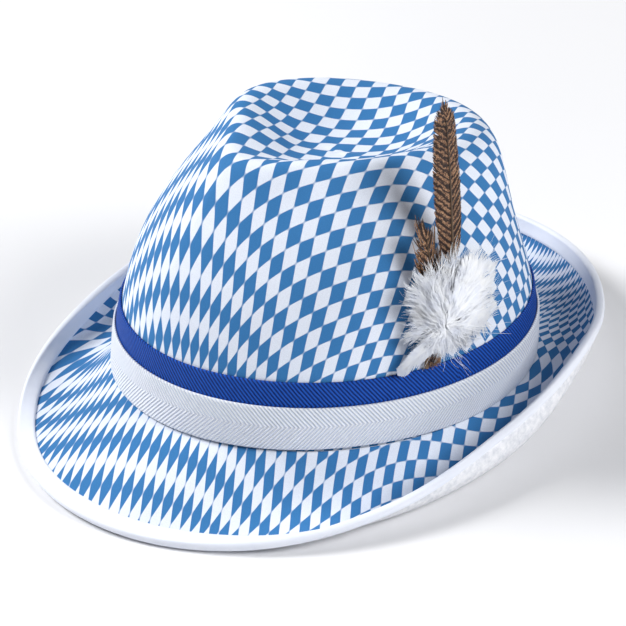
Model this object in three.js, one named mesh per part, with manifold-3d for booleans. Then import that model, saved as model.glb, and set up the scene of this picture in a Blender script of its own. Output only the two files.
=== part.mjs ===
// Tyrolean hat: a moulded cloth crown on a snapped brim, two tapes and a tuft of feathers.
// Millimetres, +Z up. The front of the hat faces -Y and the wearer's left side +X.
// Every form is worked out in the hat's own frame, whose z = 0 is the root of the brim,
// and the whole hat is then tipped to lie as it rests on a table, front edge and back fold down.

import * as THREE from "three";
import { NURBSCurve } from "three/addons/curves/NURBSCurve.js";
import { mergeVertices } from "three/addons/utils/BufferGeometryUtils.js";
import Module from "manifold-3d";

// Driving dimensions

const footLength = 205;        // outside of the crown at its foot, front to back
const footWidth = 169;         // the same from side to side
const crownWall = 1.6;
const crownHeight = 114;       // brim root to the crest, at the sides
const frontRise = 3.2;         // the crest is this much higher in front than halfway
const endDrop = 3.2;           // and this much lower at both ends than at the sides
const crestLength = 136;
const crestWidth = 98;
const crestSetback = 1.5;      // the crest's centre lies this far behind the foot's
const pinchDepth = 11;         // the finger dent on each side of the front
const pinchAngle = 30;         // degrees from the front to its middle
const pinchSpread = 28;
const dentDepth = 14.7;        // the hollow along the top, below the sides' crest
const dentTilt = 0.067;        // rise of the hollow's floor towards the front

const brimWidth = 48;          // along the cloth, at the sides
const brimWall = 1.8;
const brimCurl = 1.78;         // how late the curl comes between root and edge
const bindingWidth = 7;
const bindingWall = 0.8;

const blueTapeTop = 33;        // heights up the crown from the brim's root
const blueTapeFoot = 12;
const whiteTapeTop = 22;
const tapeWall = 1;

const clearance = 0.3;         // between touching pieces
const spanRoom = 0.2;          // more of it where a straight edge spans the round wall
const soleDepth = 0.5;         // the cloth is flattened this much where it rests

const featherAngle = 82;       // degrees from the front, on the wearer's left
const featherLength = 122;
const featherWidth = 12.5;
const featherWall = 1.2;
const smallFeatherLength = 66;
const smallFeatherWidth = 9;
const smallFeatherForward = 4.5;
const quillLength = 30;
const quillWidth = 2.4;
const quillTopWidth = 1.44;
const quillForward = 7;        // the bare quill's foot stands this far before the long feather
const quillTopForward = 5.6;
const quillSides = 6;
const plumeReach = 36;
const plumeDepth = 10;
const plumeSetOut = 4.6;       // from the feathers' shafts to the middle of the down
const plumeUp = 18.7;          // the down's middle, from the seat of the feathers
const plumeBack = 4;
const plumeLean = 0.125;       // how far it comes in towards the crown for its height

const segments = 60;           // facets round the hat
const crestPlace = 0.6;        // share of the crown's outline that surely rises to the crest
const uprightShare = 0.9;      // share of the crown's height over which its wall stands up

// Sections of the crown from its foot up over the crest and down to the middle of the hollow.
// foot and crest are shares of the foot's and the crest's radius, pinch of the finger dents,
// rise of the crest's height, sink of the hollow's depth; lean adds to the radius in front.
const crownSections = [
  { foot: 1.000, crest: 0.00, pinch: 0.00, rise: 0.000, sink: 0.00, lean: 0.000 },
  { foot: 0.998, crest: 0.00, pinch: 0.00, rise: 0.140, sink: 0.00, lean: 0.000 },
  { foot: 0.985, crest: 0.00, pinch: 0.00, rise: 0.300, sink: 0.00, lean: 0.000 },
  { foot: 0.896, crest: 0.00, pinch: 0.46, rise: 0.620, sink: 0.00, lean: 0.051 },
  { foot: 0.000, crest: 1.17, pinch: 1.00, rise: 0.886, sink: 0.00, lean: -0.046 },
  { foot: 0.000, crest: 1.00, pinch: 1.00, rise: 1.004, sink: 0.00, lean: 0.000 },
  { foot: 0.000, crest: 0.82, pinch: 0.80, rise: 1.000, sink: 0.10, lean: 0.000 },
  { foot: 0.000, crest: 0.49, pinch: 0.49, rise: 1.000, sink: 0.75, lean: 0.000 },
  { foot: 0.000, crest: 0.30, pinch: 0.00, rise: 1.000, sink: 1.00, lean: 0.000 },
  { foot: 0.000, crest: 0.00, pinch: 0.00, rise: 1.000, sink: 1.00, lean: 0.000 },
];
const outerRows = 22;
const innerRows = 15;

// Sections of the brim round half the hat, every 30 degrees from the front.
// width is a share of brimWidth; root and edge are the cloth's slopes in degrees.
const brimSections = [
  { angle: 0, width: 1.12, root: -31, edge: -33 },
  { angle: 30, width: 1.04, root: -52, edge: 10 },
  { angle: 60, width: 1.02, root: -64, edge: 87 },
  { angle: 90, width: 1.00, root: -42, edge: 143 },
  { angle: 120, width: 0.94, root: 5, edge: 110 },
  { angle: 150, width: 0.87, root: 10, edge: 96 },
  { angle: 180, width: 0.90, root: 7, edge: 85 },
];
const brimRows = 7;
const brimSteps = 48;

// The shaft of a feather: shares of its length up, back and in towards the crown's axis.
const featherPath = [
  { up: 0.00, back: 0.000, inward: 0.000 },
  { up: 0.20, back: 0.025, inward: 0.018 },
  { up: 0.36, back: 0.060, inward: 0.042 },
  { up: 0.68, back: 0.037, inward: 0.054 },
  { up: 1.00, back: -0.010, inward: 0.070 },
];
const smallFeatherPath = [
  { up: 0.00, back: 0.00, inward: 0.00 },
  { up: 0.50, back: -0.04, inward: 0.04 },
  { up: 1.00, back: -0.07, inward: 0.12 },
];

// Half widths of the vane on each side of the shaft, as shares of the feather's width.
const vaneSections = [
  { along: 0.00, front: 0.08, back: 0.08 },
  { along: 0.30, front: 0.08, back: 0.08 },
  { along: 0.36, front: 0.52, back: 0.36 },
  { along: 0.46, front: 0.60, back: 0.40 },
  { along: 0.60, front: 0.58, back: 0.40 },
  { along: 0.74, front: 0.52, back: 0.38 },
  { along: 0.86, front: 0.40, back: 0.32 },
  { along: 0.95, front: 0.26, back: 0.22 },
  { along: 1.00, front: 0.10, back: 0.10 },
];
const smallVaneSections = [
  { along: 0.00, front: 0.10, back: 0.10 },
  { along: 0.42, front: 0.10, back: 0.10 },
  { along: 0.54, front: 0.45, back: 0.40 },
  { along: 0.72, front: 0.55, back: 0.42 },
  { along: 0.88, front: 0.34, back: 0.26 },
  { along: 1.00, front: 0.08, back: 0.06 },
];

// Locks of the down, as a fan: turn is in degrees from straight up towards the back,
// reach a share of plumeReach, lift a share of plumeDepth away from the crown at the tip.
const plumeLocks = [
  { turn: 8, reach: 0.80, lift: 0.05 },
  { turn: 29, reach: 0.86, lift: -0.10 },
  { turn: 46, reach: 0.90, lift: 0.25 },
  { turn: 64, reach: 0.94, lift: -0.05 },
  { turn: 82, reach: 0.98, lift: 0.10 },
  { turn: 104, reach: 0.88, lift: 0.00 },
  { turn: 124, reach: 0.76, lift: 0.30 },
  { turn: 146, reach: 0.62, lift: 0.15 },
  { turn: 176, reach: 0.50, lift: 0.25 },
  { turn: 212, reach: 0.62, lift: 0.20 },
  { turn: 236, reach: 0.94, lift: 0.05 },
  { turn: 256, reach: 0.86, lift: 0.25 },
  { turn: 274, reach: 0.88, lift: 0.00 },
  { turn: 294, reach: 0.96, lift: 0.20 },
  { turn: 312, reach: 1.00, lift: 0.00 },
  { turn: 330, reach: 1.08, lift: 0.15 },
  { turn: 348, reach: 0.92, lift: 0.00 },
];
// The round head that the locks grow from, as shares of the down's depth and reach.
const plumeHead = { depth: 0.42, width: 0.52, height: 0.46 };
// A lock's width and thickness from root to tip, as shares of its greatest ones.
const lockSections = [
  { along: 0.20, size: 0.70 },
  { along: 0.50, size: 1.00 },
  { along: 0.75, size: 0.80 },
  { along: 0.92, size: 0.40 },
  { along: 1.00, size: 0.10 },
];
const lockWidth = 13;
const lockWall = 3.6;

const vec = (x, y, z) => new THREE.Vector3(x, y, z);
const radians = THREE.MathUtils.degToRad;

// A column of a table read at any angle round the hat, as a smooth curve through its rows.
function around(table, column, degrees) {
  const step = table[1].angle - table[0].angle;
  const last = table.length - 1;
  const place = Math.abs(degrees) / step;
  const row = Math.min(Math.floor(place), last - 1);
  const t = place - row;
  const before = table[row === 0 ? 1 : row - 1][column];
  const start = table[row][column];
  const end = table[row + 1][column];
  const after = table[row + 1 === last ? last - 1 : row + 2][column];
  const linear = (end - before) / 2;
  const square = before - 2.5 * start + 2 * end - after / 2;
  const cube = (after - before) / 2 + 1.5 * (start - end);
  return start + linear * t + square * t * t + cube * t * t * t;
}

// The ray at `turn` radians from +X, with its angle from the front, the foot oval's point
// and the oval's outward direction there.
function station(turn) {
  const c = Math.cos(turn);
  const s = Math.sin(turn);
  const a = footWidth / 2;
  const b = footLength / 2;
  const radius = 1 / Math.hypot(c / a, s / b);
  const outward = vec(c / (a * a), s / (b * b), 0).normalize();
  const front = THREE.MathUtils.radToDeg(Math.atan2(c, -s));
  return { c, s, radius, outward, front };
}

const stations = [];
for (let i = 0; i < segments; i += 1) {
  stations.push(station((2 * Math.PI * i) / segments));
}

// Distance from the foot's centre to the crest's ellipse, whose own centre is set back.
function crestRadius(at) {
  const a = crestWidth / 2;
  const b = crestLength / 2;
  const square = (at.c / a) ** 2 + (at.s / b) ** 2;
  const linear = (-2 * at.s * crestSetback) / (b * b);
  const fixed = (crestSetback / b) ** 2 - 1;
  return (-linear + Math.sqrt(linear * linear - 4 * square * fixed)) / (2 * square);
}

// The crown's outline along one ray, a cubic B-spline through its sections' points.
function crownCurve(at) {
  const angle = radians(at.front);
  const crest = crestRadius(at);
  const height = crownHeight + frontRise * Math.cos(angle) - endDrop * Math.cos(2 * angle);
  const offset = (Math.abs(at.front) - pinchAngle) / pinchSpread;
  const pinch = pinchDepth * Math.exp(-offset * offset);
  const depth = height - crownHeight + dentDepth;
  const points = crownSections.map((row) => {
    const foot = row.foot > 0 ? (row.foot + row.lean * Math.cos(angle)) * at.radius : 0;
    const top = row.crest > 0 && row.foot === 0 ? row.crest + row.lean * Math.cos(angle) : 0;
    const radius = Math.max(foot + top * crest - row.pinch * pinch, 0);
    const tilt = row.sink > 0.5 ? -dentTilt * radius * at.s : 0;
    return new THREE.Vector4(radius, 0, row.rise * height - row.sink * depth + tilt, 1);
  });
  const inner = points.length - 4;
  const knots = [0, 0, 0, 0];
  for (let i = 1; i <= inner; i += 1) {
    knots.push(i / (inner + 1));
  }
  knots.push(1, 1, 1, 1);
  return new NURBSCurve(3, knots, points);
}

function crownPoint(at, curve, t) {
  const p = curve.getPoint(t);
  return vec(p.x * at.c, p.x * at.s, p.z);
}

const crownCurves = stations.map(crownCurve);

// The crown's outer radius along any ray at a height below the crest.
function wallPoint(at, height) {
  const curve = crownCurve(at);
  let low = 0;
  let high = crestPlace;
  for (let i = 0; i < 30; i += 1) {
    const middle = (low + high) / 2;
    if (curve.getPoint(middle).z < height) {
      low = middle;
    } else {
      high = middle;
    }
  }
  return crownPoint(at, curve, low);
}

// Rows of points round the hat make a closed surface, whose last row joins the first.
// A row of one point is a pole. `mirrored` splits each four-sided face the other way,
// so that a face laid over another one folds along the same line.
function ringMesh(rows, mirrored) {
  const positions = [];
  const starts = [];
  for (const row of rows) {
    starts.push(positions.length / 3);
    for (const p of row) {
      positions.push(p.x, p.y, p.z);
    }
  }
  const index = [];
  for (let r = 0; r < rows.length; r += 1) {
    const next = (r + 1) % rows.length;
    const here = rows[r].length;
    const there = rows[next].length;
    const count = Math.max(here, there);
    for (let i = 0; i < count; i += 1) {
      const j = (i + 1) % count;
      const a = starts[r] + (here > 1 ? i : 0);
      const b = starts[r] + (here > 1 ? j : 0);
      const c = starts[next] + (there > 1 ? j : 0);
      const d = starts[next] + (there > 1 ? i : 0);
      if (here > 1) {
        index.push(a, b, mirrored ? d : c);
      }
      if (there > 1) {
        index.push(mirrored ? b : a, c, d);
      }
    }
  }
  const geometry = new THREE.BufferGeometry();
  geometry.setAttribute("position", new THREE.Float32BufferAttribute(positions, 3));
  geometry.setIndex(index);
  return geometry;
}

// Outer surface from the foot to the hollow's middle, then the inner one back to the foot.
function makeCrown() {
  const nudge = 0.002;
  const rows = [];
  const foot = -brimWall / 2;
  rows.push(stations.map((at) => vec(at.radius * at.c, at.radius * at.s, foot)));
  for (let k = 0; k < outerRows; k += 1) {
    const t = k / outerRows;
    rows.push(stations.map((at, i) => crownPoint(at, crownCurves[i], t)));
  }
  const middle = crownPoint(stations[0], crownCurves[0], 1);
  rows.push([middle]);
  rows.push([middle.clone().setZ(middle.z - crownWall)]);
  for (let k = innerRows - 1; k > 0; k -= 1) {
    const t = k / innerRows;
    rows.push(stations.map((at, i) => {
      const curve = crownCurves[i];
      const p = crownPoint(at, curve, t);
      const along = crownPoint(at, curve, t + nudge).sub(crownPoint(at, curve, t - nudge));
      const before = crownPoint(stations[(i + segments - 1) % segments],
        crownCurves[(i + segments - 1) % segments], t);
      const after = crownPoint(stations[(i + 1) % segments],
        crownCurves[(i + 1) % segments], t);
      const inward = after.sub(before).cross(along).normalize().multiplyScalar(-crownWall);
      return p.add(inward);
    }));
  }
  rows.push(stations.map((at) => {
    const p = vec(at.radius * at.c, at.radius * at.s, foot);
    return p.addScaledVector(at.outward, -crownWall);
  }));
  return ringMesh(rows, false);
}

// The brim's middle surface along one ray: its slope turns from root to edge, and the
// cloth's length outwards is kept by adding up small straight steps.
function brimStrip(at) {
  const width = brimWidth * around(brimSections, "width", at.front);
  const root = radians(around(brimSections, "root", at.front));
  const edge = radians(around(brimSections, "edge", at.front));
  const start = clearance + (brimWall / 2) * Math.abs(Math.sin(root));
  const strip = [];
  let out = start;
  let up = 0;
  for (let k = 0; k <= brimSteps; k += 1) {
    const t = k / brimSteps;
    const slope = root + (edge - root) * t ** brimCurl;
    strip.push({ t, out, up, slope });
    out += (Math.cos(slope) * width) / brimSteps;
    up += (Math.sin(slope) * width) / brimSteps;
  }
  return { strip, width, root };
}

const brimStrips = stations.map(brimStrip);

// A point of the brim at share t of its width, `off` above its middle surface
// and `beyond` further along the cloth.
function brimPoint(i, t, off, beyond) {
  const { strip } = brimStrips[i];
  const place = t * brimSteps;
  const k = Math.min(Math.floor(place), brimSteps - 1);
  const share = place - k;
  const out = THREE.MathUtils.lerp(strip[k].out, strip[k + 1].out, share);
  const up = THREE.MathUtils.lerp(strip[k].up, strip[k + 1].up, share);
  const slope = THREE.MathUtils.lerp(strip[k].slope, strip[k + 1].slope, share);
  const at = stations[i];
  const outwards = out - off * Math.sin(slope) + beyond * Math.cos(slope);
  const height = up + off * Math.cos(slope) + beyond * Math.sin(slope);
  const p = vec(at.radius * at.c, at.radius * at.s, height);
  return p.addScaledVector(at.outward, outwards);
}

function makeBrim() {
  const half = brimWall / 2;
  const shares = (i) => {
    const body = 1 - bindingWidth / brimStrips[i].width;
    const list = [];
    for (let k = 0; k < brimRows; k += 1) {
      list.push((body * k) / (brimRows - 1));
    }
    list.push(1);
    return list;
  };
  const rows = [];
  for (let k = 0; k <= brimRows; k += 1) {
    rows.push(stations.map((at, i) => brimPoint(i, shares(i)[k], -half, 0)));
  }
  for (let k = brimRows; k >= 0; k -= 1) {
    rows.push(stations.map((at, i) => brimPoint(i, shares(i)[k], half, 0)));
  }
  return ringMesh(rows, false);
}

// A tape folded over the brim's edge, as one ring of a hooked section.
function makeBinding() {
  const inside = brimWall / 2 + clearance;
  const outside = inside + bindingWall;
  const reach = clearance + bindingWall;
  const fold = [0, 45, 90, 135, 180].map((turn) => (
    { edge: 1, off: -outside * Math.cos(radians(turn)), beyond: reach * Math.sin(radians(turn)) }));
  const section = [
    { edge: 0, off: -outside, beyond: 0 },
    ...fold,
    { edge: 0, off: outside, beyond: 0 },
    { edge: 0, off: inside, beyond: 0 },
    { edge: 1, off: inside, beyond: clearance },
    { edge: 1, off: -inside, beyond: clearance },
    { edge: 0, off: -inside, beyond: 0 },
  ];
  const rows = section.map((corner) => stations.map((at, i) => {
    const start = 1 - bindingWidth / brimStrips[i].width;
    return brimPoint(i, corner.edge ? 1 : start, corner.off, corner.beyond);
  }));
  return ringMesh(rows, true);
}

// A flat tape laid round the crown between two heights, `inner` outside its wall.
function makeTape(footHeight, top, inner) {
  const levels = [0, 0.5, 1];
  const face = (share, off) => stations.map((at, i) => {
    const foot = footHeight(i);
    return wallPoint(at, foot + (top - foot) * share).addScaledVector(at.outward, off);
  });
  const rows = levels.map((share) => face(share, inner + tapeWall));
  for (const share of [...levels].reverse()) {
    rows.push(face(share, inner));
  }
  return ringMesh(rows, true);
}

// The white tape lies over the blue one, and its lower edge stands just clear of the
// brim's upper face, wherever that is higher: at the tape's inner face or at its outer one.
const whiteTapeInner = clearance * 2 + tapeWall;
const whiteTapeOuter = whiteTapeInner + tapeWall;

function whiteTapeFoot(i) {
  const { root } = brimStrips[i];
  const overBrim = (out) => brimWall / 2 / Math.cos(root) + out * Math.tan(root);
  return Math.max(overBrim(0), overBrim(whiteTapeOuter)) + clearance;
}

// Rings of points along a path, closed with a fan at both ends.
function loft(rings) {
  const size = rings[0].length;
  const positions = [];
  for (const ring of rings) {
    for (const p of ring) {
      positions.push(p.x, p.y, p.z);
    }
  }
  const index = [];
  for (let r = 0; r < rings.length - 1; r += 1) {
    for (let i = 0; i < size; i += 1) {
      const j = (i + 1) % size;
      const a = r * size + i;
      const b = r * size + j;
      const c = (r + 1) * size + j;
      const d = (r + 1) * size + i;
      index.push(a, b, c, a, c, d);
    }
  }
  const last = (rings.length - 1) * size;
  for (let i = 1; i < size - 1; i += 1) {
    index.push(0, i + 1, i);
    index.push(last, last + i, last + i + 1);
  }
  const geometry = new THREE.BufferGeometry();
  geometry.setAttribute("position", new THREE.Float32BufferAttribute(positions, 3));
  geometry.setIndex(index);
  return geometry;
}

// Where the feathers are tucked in: just above the blue tape, on the crown's wall.
const seatStation = station(radians(featherAngle - 90));
const seatHeight = blueTapeTop + clearance + quillWidth / 2;
const seatOut = seatStation.outward;
const seatBack = vec(-seatOut.y, seatOut.x, 0);
const seatPoint = wallPoint(seatStation, seatHeight);

// A point beside the seat, kept `clear` outside the crown's wall at its own height.
function besideSeat(out, back, up, clear) {
  const p = seatPoint.clone().addScaledVector(seatOut, out).addScaledVector(seatBack, back);
  p.z += up;
  if (p.z < crownHeight * uprightShare) {
    const at = station(Math.atan2(p.y, p.x));
    const wall = wallPoint(at, p.z);
    const short = clear - (Math.hypot(p.x, p.y) - Math.hypot(wall.x, wall.y));
    if (short > 0) {
      p.addScaledVector(seatOut, short);
    }
  }
  return p;
}

// A feather's shaft and vane as one thin blade of a six-sided section.
function makeFeather(path, vane, length, width, forward) {
  const half = featherWall / 2;
  const clear = half + clearance + spanRoom;
  const points = path.map((row) => besideSeat(
    clear - row.inward * length, row.back * length - forward, row.up * length, clear));
  const shaft = new THREE.CatmullRomCurve3(points);
  const rings = vane.map((row) => {
    const p = shaft.getPoint(row.along);
    const f = row.front * width;
    const b = row.back * width;
    const corner = (side, out) => p.clone().addScaledVector(seatBack, side)
      .addScaledVector(seatOut, out);
    return [corner(-f, 0), corner(-f / 3, half), corner(b / 3, half),
      corner(b, 0), corner(b / 3, -half), corner(-f / 3, -half)];
  });
  return loft(rings);
}

// The bare end of the plume's shaft, a slim rod that leans along the wall;
// `room` is added all round it where something else has to clear it.
function makeQuill(room) {
  const clear = quillWidth / 2 + clearance + spanRoom;
  const ends = [
    { up: -room, at: besideSeat(clear, -quillForward, 0, clear), width: quillWidth },
    { up: room, at: besideSeat(clear, -quillTopForward, quillLength, clear), width: quillTopWidth },
  ];
  const rings = ends.map((end) => {
    const ring = [];
    for (let i = 0; i < quillSides; i += 1) {
      const turn = (2 * Math.PI * i) / quillSides;
      const r = end.width / 2 + room;
      const p = end.at.clone().addScaledVector(seatBack, r * Math.cos(turn))
        .addScaledVector(seatOut, -r * Math.sin(turn));
      p.z += end.up;
      ring.push(p);
    }
    return ring;
  });
  return loft(rings);
}

const wasm = await Module();
wasm.setup();

function toSolid(geometry) {
  const bare = geometry.clone();
  bare.deleteAttribute("normal");
  bare.deleteAttribute("uv");
  const merged = mergeVertices(bare, 1e-5);
  return new wasm.Manifold(new wasm.Mesh({
    numProp: 3,
    vertProperties: new Float32Array(merged.attributes.position.array),
    triVerts: new Uint32Array(merged.index.array),
  }));
}

function fromSolid(solid) {
  const mesh = solid.getMesh();
  const geometry = new THREE.BufferGeometry();
  const position = new THREE.BufferAttribute(new Float32Array(mesh.vertProperties), 3);
  geometry.setAttribute("position", position);
  geometry.setIndex(Array.from(mesh.triVerts));
  return geometry;
}

// One lock of down: a flat tapering strip from the head outwards, bent away at its tip.
function makeLock(centre, lock, depthAt) {
  const turn = radians(lock.turn);
  const reach = lock.reach * plumeReach;
  const rings = lockSections.map((row) => {
    const along = row.along * reach;
    const back = Math.sin(turn) * along;
    const up = Math.cos(turn) * along;
    const p = besideSeat(depthAt(centre.up + up) + lock.lift * plumeDepth * row.along ** 2,
      centre.back + back, centre.up + up, clearance + lockWall);
    const across = seatBack.clone().multiplyScalar(Math.cos(turn));
    across.z -= Math.sin(turn);
    const w = (lockWidth * row.size) / 2;
    const h = (lockWall * row.size) / 2;
    return [p.clone().addScaledVector(across, -w), p.clone().addScaledVector(seatOut, h),
      p.clone().addScaledVector(across, w), p.clone().addScaledVector(seatOut, -h)];
  });
  return loft(rings);
}

// A head of down over the shafts, with the locks fused to it.
function makePlume() {
  const centre = { back: plumeBack, up: plumeUp };
  const shafts = featherWall + clearance * 3;
  const depthAt = (up) => plumeSetOut + shafts - plumeLean * Math.max(up, 0);
  const middle = besideSeat(depthAt(centre.up), centre.back, centre.up, plumeSetOut);
  const head = new THREE.SphereGeometry(1, 12, 7);
  head.scale(plumeDepth * plumeHead.depth, plumeReach * plumeHead.width,
    plumeReach * plumeHead.height);
  head.rotateZ(Math.atan2(seatOut.y, seatOut.x));
  head.translate(middle.x, middle.y, middle.z);
  let body = toSolid(head);
  for (const lock of plumeLocks) {
    body = body.add(toSolid(makeLock(centre, lock, depthAt)));
  }
  return fromSolid(body.subtract(toSolid(makeQuill(clearance * 1.5))));
}

const finishes = {
  cloth: { color: 0x5e9fd6, roughness: 0.85 },
  binding: { color: 0xe6eaf4, roughness: 0.8 },
  blueTape: { color: 0x0f3fb5, roughness: 0.7 },
  whiteTape: { color: 0xe6eaf4, roughness: 0.75 },
  feather: { color: 0x6e5032, roughness: 0.7 },
  quill: { color: 0x9a8258, roughness: 0.6 },
  down: { color: 0xeceef4, roughness: 0.9 },
};

function piece(name, geometry, finish) {
  const mesh = new THREE.Mesh(geometry,
    new THREE.MeshStandardMaterial({ ...finish, metalness: 0 }));
  mesh.name = name;
  geometry.computeVertexNormals();
  return mesh;
}

// The line in the YZ plane on which the hat lies: the stretch of the lower outline
// that passes under its middle.
function restLine(geometries) {
  const points = [];
  for (const geometry of geometries) {
    const p = geometry.attributes.position;
    for (let i = 0; i < p.count; i += 1) {
      points.push([p.getY(i), p.getZ(i)]);
    }
  }
  points.sort((a, b) => a[0] - b[0] || a[1] - b[1]);
  const hull = [];
  for (const p of points) {
    while (hull.length > 1) {
      const [o, q] = hull.slice(-2);
      const turn = (q[0] - o[0]) * (p[1] - o[1]) - (q[1] - o[1]) * (p[0] - o[0]);
      if (turn > 0) {
        break;
      }
      hull.pop();
    }
    hull.push(p);
  }
  const k = hull.findIndex((p) => p[0] > 0);
  const [a, b] = [hull[k - 1], hull[k]];
  const slope = (b[1] - a[1]) / (b[0] - a[0]);
  return { slope, base: a[1] - slope * a[0] };
}

// Cloth that reaches below the table is pressed flat on it.
function pressFlat(geometry, line) {
  const p = geometry.attributes.position;
  for (let i = 0; i < p.count; i += 1) {
    const table = line.base + line.slope * p.getY(i) + soleDepth;
    if (p.getZ(i) < table) {
      p.setZ(i, table);
    }
  }
}

const crown = makeCrown();
const brim = makeBrim();
const binding = makeBinding();
const blueTape = makeTape(() => blueTapeFoot, blueTapeTop, clearance);
const whiteTape = makeTape(whiteTapeFoot, whiteTapeTop, whiteTapeInner);
const feather = makeFeather(featherPath, vaneSections, featherLength, featherWidth, 0);
const smallFeather = makeFeather(smallFeatherPath, smallVaneSections, smallFeatherLength,
  smallFeatherWidth, smallFeatherForward);
const line = restLine([crown, brim, binding]);
for (const geometry of [crown, brim, binding]) {
  pressFlat(geometry, line);
}

const hat = new THREE.Group();
hat.add(piece("crown", crown, finishes.cloth));
hat.add(piece("brim", brim, finishes.cloth));
hat.add(piece("edge_binding", binding, finishes.binding));
hat.add(piece("blue_tape", blueTape, finishes.blueTape));
hat.add(piece("white_tape", whiteTape, finishes.whiteTape));
hat.add(piece("pheasant_feather", feather, finishes.feather));
hat.add(piece("small_feather", smallFeather, finishes.feather));
hat.add(piece("quill", makeQuill(0), finishes.quill));
hat.add(piece("white_plume", makePlume(), finishes.down));

// Tip the hat on to its resting line, and stand the middle of its box on the origin.
hat.rotation.x = -Math.atan(line.slope);
hat.updateMatrixWorld(true);
const box = new THREE.Box3().setFromObject(hat, true);
hat.position.set(-(box.min.x + box.max.x) / 2, -(box.min.y + box.max.y) / 2, -box.min.z);

const whole = new THREE.Group();
whole.add(hat);

export default whole;
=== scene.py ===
import math
import bpy
import numpy as np
from mathutils import Matrix, Vector


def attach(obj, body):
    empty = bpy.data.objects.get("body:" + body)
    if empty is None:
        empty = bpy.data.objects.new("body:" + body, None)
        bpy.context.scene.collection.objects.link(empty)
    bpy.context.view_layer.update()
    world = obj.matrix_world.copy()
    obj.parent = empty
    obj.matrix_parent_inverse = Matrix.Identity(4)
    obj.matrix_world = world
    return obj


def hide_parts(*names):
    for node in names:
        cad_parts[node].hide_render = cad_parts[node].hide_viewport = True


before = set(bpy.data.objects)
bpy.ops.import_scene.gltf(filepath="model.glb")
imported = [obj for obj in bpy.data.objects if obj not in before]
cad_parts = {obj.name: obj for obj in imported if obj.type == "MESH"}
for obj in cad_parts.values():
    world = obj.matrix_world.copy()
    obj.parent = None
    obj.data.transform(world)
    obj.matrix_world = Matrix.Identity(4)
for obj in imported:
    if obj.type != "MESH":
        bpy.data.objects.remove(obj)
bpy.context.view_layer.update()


# The hat's own frame: millimetres, z = 0 at the brim's root, front -Y, wearer's left +X.

hat = {"tip": math.radians(7.0215), "shift": np.array([0.0, 6.5256, 12.983])}
upwards = np.array([0, 0, 1.0])


def turned(vectors):
    # Turns vectors about X by the hat's tip: y' = y cos + z sin, z' = z cos - y sin.
    x, y, z = np.moveaxis(vectors, -1, 0)
    c, s = math.cos(hat["tip"]), math.sin(hat["tip"])
    return np.stack([x, y * c + z * s, z * c - y * s], -1)


def place(points):
    # From the hat's own frame in millimetres to the shared frame in metres, pressed flat on z = 0.
    moved = (turned(points) + hat["shift"]) / 1000
    moved[..., 2] = np.maximum(moved[..., 2], 0)
    return moved


def unit(vectors):
    # Each vector divided by its length.
    return vectors / np.maximum(np.linalg.norm(vectors, axis=-1, keepdims=True), 1e-9)


def evenTurns(count):
    # Even directions all the way round, in radians from +X.
    return np.linspace(0, 2 * np.pi, count, endpoint=False)


def gridFaces(rows, cols, closed, start=0):
    # The four corners of each cell of a grid whose points are numbered row by row.
    r = np.arange(rows - 1)[:, None]
    c = np.arange(cols if closed else cols - 1)[None, :]
    n = (c + 1) % cols
    cells = np.stack([r * cols + c, r * cols + n, (r + 1) * cols + n, (r + 1) * cols + c], -1)
    return cells.reshape(-1, 4) + start


def buildPiece(name, node, points, faces, uv, materials, slots=None, caps=(), normals=None):
    # One mesh from points in the hat's frame, four-cornered faces, and uv at every face corner.
    mesh = bpy.data.meshes.new(name)
    mesh.vertices.add(len(points))
    mesh.vertices.foreach_set("co", place(points).astype(np.float32).ravel())
    loops = np.concatenate([faces.ravel(), *[np.asarray(c) for c in caps]]).astype(np.int32)
    sizes = np.concatenate([np.full(len(faces), 4), [len(c) for c in caps]]).astype(np.int32)
    mesh.loops.add(len(loops))
    mesh.loops.foreach_set("vertex_index", loops)
    mesh.polygons.add(len(sizes))
    mesh.polygons.foreach_set("loop_start", np.concatenate([[0], np.cumsum(sizes)[:-1]]).astype(np.int32))
    mesh.polygons.foreach_set("use_smooth", np.ones(len(sizes), bool))
    if slots is not None:
        mesh.polygons.foreach_set("material_index", slots.astype(np.int32))
    layer = mesh.uv_layers.new(name="cloth")
    layer.data.foreach_set("uv", uv.astype(np.float32).ravel())
    for material in materials:
        mesh.materials.append(material)
    mesh.update(calc_edges=True)
    mesh.validate()
    if normals is not None:
        mesh.normals_split_custom_set_from_vertices(turned(normals).tolist())
    piece = bpy.data.objects.new(name, mesh)
    bpy.context.scene.collection.objects.link(piece)
    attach(piece, "root")
    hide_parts(node)
    print(name, len(points), "points")
    return piece


# Materials

def addNode(kind, inputs, **settings):
    # A node in the tree of the sockets that feed it; inputs are values or sockets, by name or number.
    tree = next(value.id_data for value in inputs.values() if isinstance(value, bpy.types.NodeSocket))
    node = tree.nodes.new(kind)
    for key, value in settings.items():
        setattr(node, key, value)
    for key, value in inputs.items():
        if isinstance(value, bpy.types.NodeSocket):
            tree.links.new(value, node.inputs[key])
        else:
            node.inputs[key].default_value = value
    return node


def newMaterial(name, roughness, sheen=0.0, sheenRoughness=0.5, specular=0.3):
    # A material, its cloth map in millimetres and its place in the shared frame in metres.
    material = bpy.data.materials.new(name)
    material.use_nodes = True
    nodes = material.node_tree.nodes
    shader = nodes["Principled BSDF"]
    shader.inputs["Roughness"].default_value = roughness
    shader.inputs["Sheen Weight"].default_value = sheen
    shader.inputs["Sheen Roughness"].default_value = sheenRoughness
    shader.inputs["Specular IOR Level"].default_value = specular
    cloth = nodes.new("ShaderNodeUVMap")
    cloth.uv_map = "cloth"
    return material, cloth.outputs[0], nodes.new("ShaderNodeTexCoord").outputs["Object"]


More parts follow.
